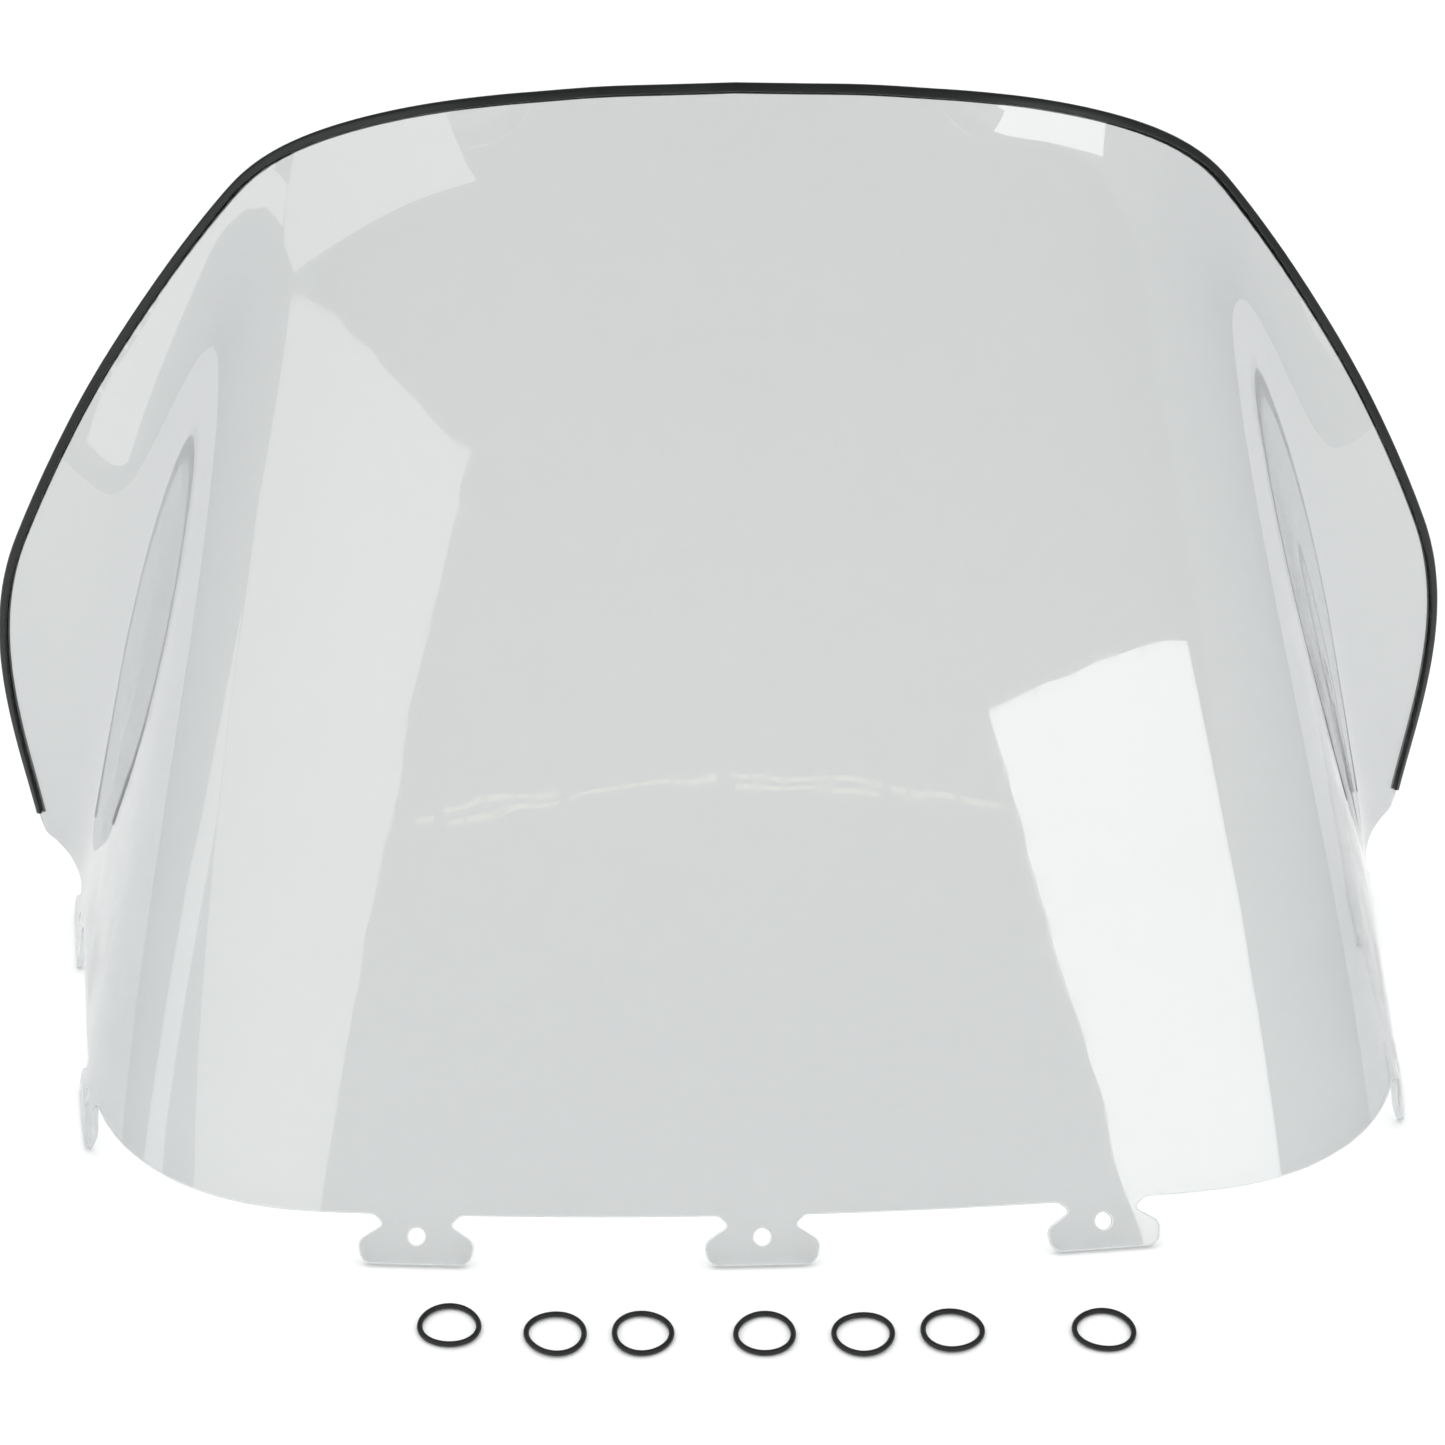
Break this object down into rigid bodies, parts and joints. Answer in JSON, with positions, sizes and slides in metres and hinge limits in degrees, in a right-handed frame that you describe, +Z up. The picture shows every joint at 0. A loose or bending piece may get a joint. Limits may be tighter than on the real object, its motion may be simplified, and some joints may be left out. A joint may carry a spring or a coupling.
{
  "type": "windshield screen",
  "caption": "Formed clear windshield with a wrap-round base, flared side wings, black edge trim, T-tabs along its lower edge and loose fixing rings.",
  "frame": {"origin": "on the ground the tabs stand on, under the middle of the whole object's bounding box, rings included", "axes": "+Z up; the screen faces -Y, its wings point to +Y, and +X is to the right seen from the front"},
  "size_m": [0.7076, 0.4119, 0.4106],
  "materials": {
    "clear_sheet": "clear, polished",
    "black_trim": "soft satin black",
    "black_rubber": "matt black"
  },
  "bodies": {
    "screen": {"windscreen": "clear_sheet", "edge_trim": "black_trim"},
    "ring_1": {"oring_1": "black_rubber"},
    "ring_2": {"oring_2": "black_rubber"},
    "ring_3": {"oring_3": "black_rubber"},
    "ring_4": {"oring_4": "black_rubber"},
    "ring_5": {"oring_5": "black_rubber"},
    "ring_6": {"oring_6": "black_rubber"},
    "ring_7": {"oring_7": "black_rubber"}
  },
  "joints": [
    {"name": "ring_1_lift", "type": "slide", "parent": "screen", "child": "ring_1", "axis": [0, 0, 1], "range_m": [0, 0.08]},
    {"name": "ring_2_lift", "type": "slide", "parent": "screen", "child": "ring_2", "axis": [0, 0, 1], "range_m": [0, 0.08]},
    {"name": "ring_3_lift", "type": "slide", "parent": "screen", "child": "ring_3", "axis": [0, 0, 1], "range_m": [0, 0.08]},
    {"name": "ring_4_lift", "type": "slide", "parent": "screen", "child": "ring_4", "axis": [0, 0, 1], "range_m": [0, 0.08]},
    {"name": "ring_5_lift", "type": "slide", "parent": "screen", "child": "ring_5", "axis": [0, 0, 1], "range_m": [0, 0.08]},
    {"name": "ring_6_lift", "type": "slide", "parent": "screen", "child": "ring_6", "axis": [0, 0, 1], "range_m": [0, 0.08]},
    {"name": "ring_7_lift", "type": "slide", "parent": "screen", "child": "ring_7", "axis": [0, 0, 1], "range_m": [0, 0.08]}
  ]
}
